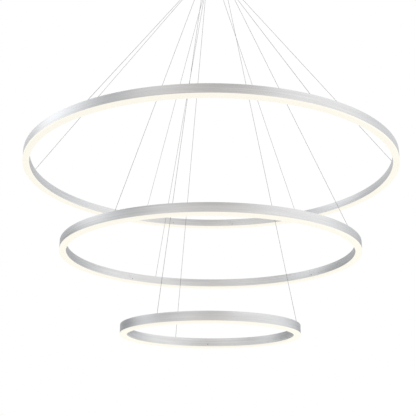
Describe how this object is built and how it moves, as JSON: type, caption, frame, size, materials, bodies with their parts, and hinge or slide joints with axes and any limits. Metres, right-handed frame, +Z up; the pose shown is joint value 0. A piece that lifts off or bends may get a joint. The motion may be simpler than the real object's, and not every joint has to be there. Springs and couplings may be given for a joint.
{
  "type": "led ring chandelier",
  "caption": "Tiered pendant of slim brushed aluminium rings with lit opal undersides, one below another on thin steel cables that slide in the grippers of a round ceiling canopy.",
  "frame": {"origin": "centre of the mounting plate's ceiling face, on the rings' common axis", "axes": "+Z up into the ceiling along the rings' axis, +X to the right and +Y away as seen from the front"},
  "size_m": [1.1998, 1.2, 1.322],
  "materials": {
    "ring_aluminium": "satin, brushed along the ring",
    "opal_diffuser": "opal, lit warm white",
    "led_board": "white solder mask",
    "led_phosphor": "phosphor, lit",
    "nickel": "nickel plated, satin",
    "zinc_steel": "zinc plated",
    "dark_steel": "black oxide",
    "lead_insulation": "red single lead",
    "cable_steel": "stranded, clear coat",
    "black_rubber": "matt",
    "terminal_plastic": "moulded",
    "brass_screws": "turned",
    "driver_plastic": "moulded, fine grain",
    "circuit_board": "green solder mask",
    "supply_sheath": "white sheath",
    "canopy_steel": "satin, brushed",
    "spring_steel": "music wire"
  },
  "bodies": {
    "canopy_unit": {"mounting_plate": "zinc_steel", "entry_bush": "black_rubber", "terminal_block": "terminal_plastic", "terminal_screws": "brass_screws", "earth_stud": "brass_screws", "driver_cases": "driver_plastic", "driver_boards": "circuit_board", "driver_screws": "zinc_steel", "supply_leads": "supply_sheath", "output_leads": "lead_insulation", "canopy": "canopy_steel", "canopy_screws": "nickel", "gripper_bodies": "nickel", "gripper_nuts": "zinc_steel", "gripper_springs": "spring_steel", "upper_cables": "cable_steel", "middle_cables": "cable_steel", "lower_cables": "cable_steel"},
    "upper_ring": {"upper_housing": "ring_aluminium", "upper_diffuser": "opal_diffuser", "upper_led_board": "led_board", "upper_leds": "led_phosphor", "upper_anchors": "nickel", "upper_anchor_nuts": "zinc_steel", "upper_cable_stops": "nickel", "upper_joint_screws": "dark_steel", "upper_joint_plates": "ring_aluminium", "upper_board_leads": "lead_insulation"},
    "middle_ring": {"middle_housing": "ring_aluminium", "middle_diffuser": "opal_diffuser", "middle_led_board": "led_board", "middle_leds": "led_phosphor", "middle_anchors": "nickel", "middle_anchor_nuts": "zinc_steel", "middle_cable_stops": "nickel", "middle_joint_screws": "dark_steel", "middle_joint_plates": "ring_aluminium", "middle_board_leads": "lead_insulation"},
    "lower_ring": {"lower_housing": "ring_aluminium", "lower_diffuser": "opal_diffuser", "lower_led_board": "led_board", "lower_leds": "led_phosphor", "lower_anchors": "nickel", "lower_anchor_nuts": "zinc_steel", "lower_cable_stops": "nickel", "lower_joint_screws": "dark_steel", "lower_joint_plates": "ring_aluminium", "lower_board_leads": "lead_insulation"},
    "upper_plunger_1": {"upper_plunger_1": "nickel"},
    "upper_plunger_2": {"upper_plunger_2": "nickel"},
    "upper_plunger_3": {"upper_plunger_3": "nickel"},
    "upper_plunger_4": {"upper_plunger_4": "nickel"},
    "upper_plunger_5": {"upper_plunger_5": "nickel"},
    "upper_plunger_6": {"upper_plunger_6": "nickel"},
    "middle_plunger_1": {"middle_plunger_1": "nickel"},
    "middle_plunger_2": {"middle_plunger_2": "nickel"},
    "middle_plunger_3": {"middle_plunger_3": "nickel"},
    "lower_plunger_1": {"lower_plunger_1": "nickel"},
    "lower_plunger_2": {"lower_plunger_2": "nickel"},
    "lower_plunger_3": {"lower_plunger_3": "nickel"}
  },
  "joints": [
    {"name": "upper_ring_height", "type": "slide", "parent": "canopy_unit", "child": "upper_ring", "axis": [0, 0, 1], "range_m": [0, 0.3], "deforming": ["upper_cables"]},
    {"name": "middle_ring_height", "type": "slide", "parent": "canopy_unit", "child": "middle_ring", "axis": [0, 0, 1], "range_m": [0, 0.3], "deforming": ["middle_cables"]},
    {"name": "lower_ring_height", "type": "slide", "parent": "canopy_unit", "child": "lower_ring", "axis": [0, 0, 1], "range_m": [0, 0.3], "deforming": ["lower_cables"]},
    {"name": "upper_plunger_1_press", "type": "slide", "parent": "canopy_unit", "child": "upper_plunger_1", "axis": [0, 0, 1], "range_m": [0, 0.003], "stiffness_N_per_m": 200, "springref_m": -0.003, "deforming": ["gripper_springs"]},
    {"name": "upper_plunger_2_press", "type": "slide", "parent": "canopy_unit", "child": "upper_plunger_2", "axis": [0, 0, 1], "range_m": [0, 0.003], "stiffness_N_per_m": 200, "springref_m": -0.003, "deforming": ["gripper_springs"]},
    {"name": "upper_plunger_3_press", "type": "slide", "parent": "canopy_unit", "child": "upper_plunger_3", "axis": [0, 0, 1], "range_m": [0, 0.003], "stiffness_N_per_m": 200, "springref_m": -0.003, "deforming": ["gripper_springs"]},
    {"name": "upper_plunger_4_press", "type": "slide", "parent": "canopy_unit", "child": "upper_plunger_4", "axis": [0, 0, 1], "range_m": [0, 0.003], "stiffness_N_per_m": 200, "springref_m": -0.003, "deforming": ["gripper_springs"]},
    {"name": "upper_plunger_5_press", "type": "slide", "parent": "canopy_unit", "child": "upper_plunger_5", "axis": [0, 0, 1], "range_m": [0, 0.003], "stiffness_N_per_m": 200, "springref_m": -0.003, "deforming": ["gripper_springs"]},
    {"name": "upper_plunger_6_press", "type": "slide", "parent": "canopy_unit", "child": "upper_plunger_6", "axis": [0, 0, 1], "range_m": [0, 0.003], "stiffness_N_per_m": 200, "springref_m": -0.003, "deforming": ["gripper_springs"]},
    {"name": "middle_plunger_1_press", "type": "slide", "parent": "canopy_unit", "child": "middle_plunger_1", "axis": [0, 0, 1], "range_m": [0, 0.003], "stiffness_N_per_m": 200, "springref_m": -0.003, "deforming": ["gripper_springs"]},
    {"name": "middle_plunger_2_press", "type": "slide", "parent": "canopy_unit", "child": "middle_plunger_2", "axis": [0, 0, 1], "range_m": [0, 0.003], "stiffness_N_per_m": 200, "springref_m": -0.003, "deforming": ["gripper_springs"]},
    {"name": "middle_plunger_3_press", "type": "slide", "parent": "canopy_unit", "child": "middle_plunger_3", "axis": [0, 0, 1], "range_m": [0, 0.003], "stiffness_N_per_m": 200, "springref_m": -0.003, "deforming": ["gripper_springs"]},
    {"name": "lower_plunger_1_press", "type": "slide", "parent": "canopy_unit", "child": "lower_plunger_1", "axis": [0, 0, 1], "range_m": [0, 0.003], "stiffness_N_per_m": 200, "springref_m": -0.003, "deforming": ["gripper_springs"]},
    {"name": "lower_plunger_2_press", "type": "slide", "parent": "canopy_unit", "child": "lower_plunger_2", "axis": [0, 0, 1], "range_m": [0, 0.003], "stiffness_N_per_m": 200, "springref_m": -0.003, "deforming": ["gripper_springs"]},
    {"name": "lower_plunger_3_press", "type": "slide", "parent": "canopy_unit", "child": "lower_plunger_3", "axis": [0, 0, 1], "range_m": [0, 0.003], "stiffness_N_per_m": 200, "springref_m": -0.003, "deforming": ["gripper_springs"]}
  ]
}
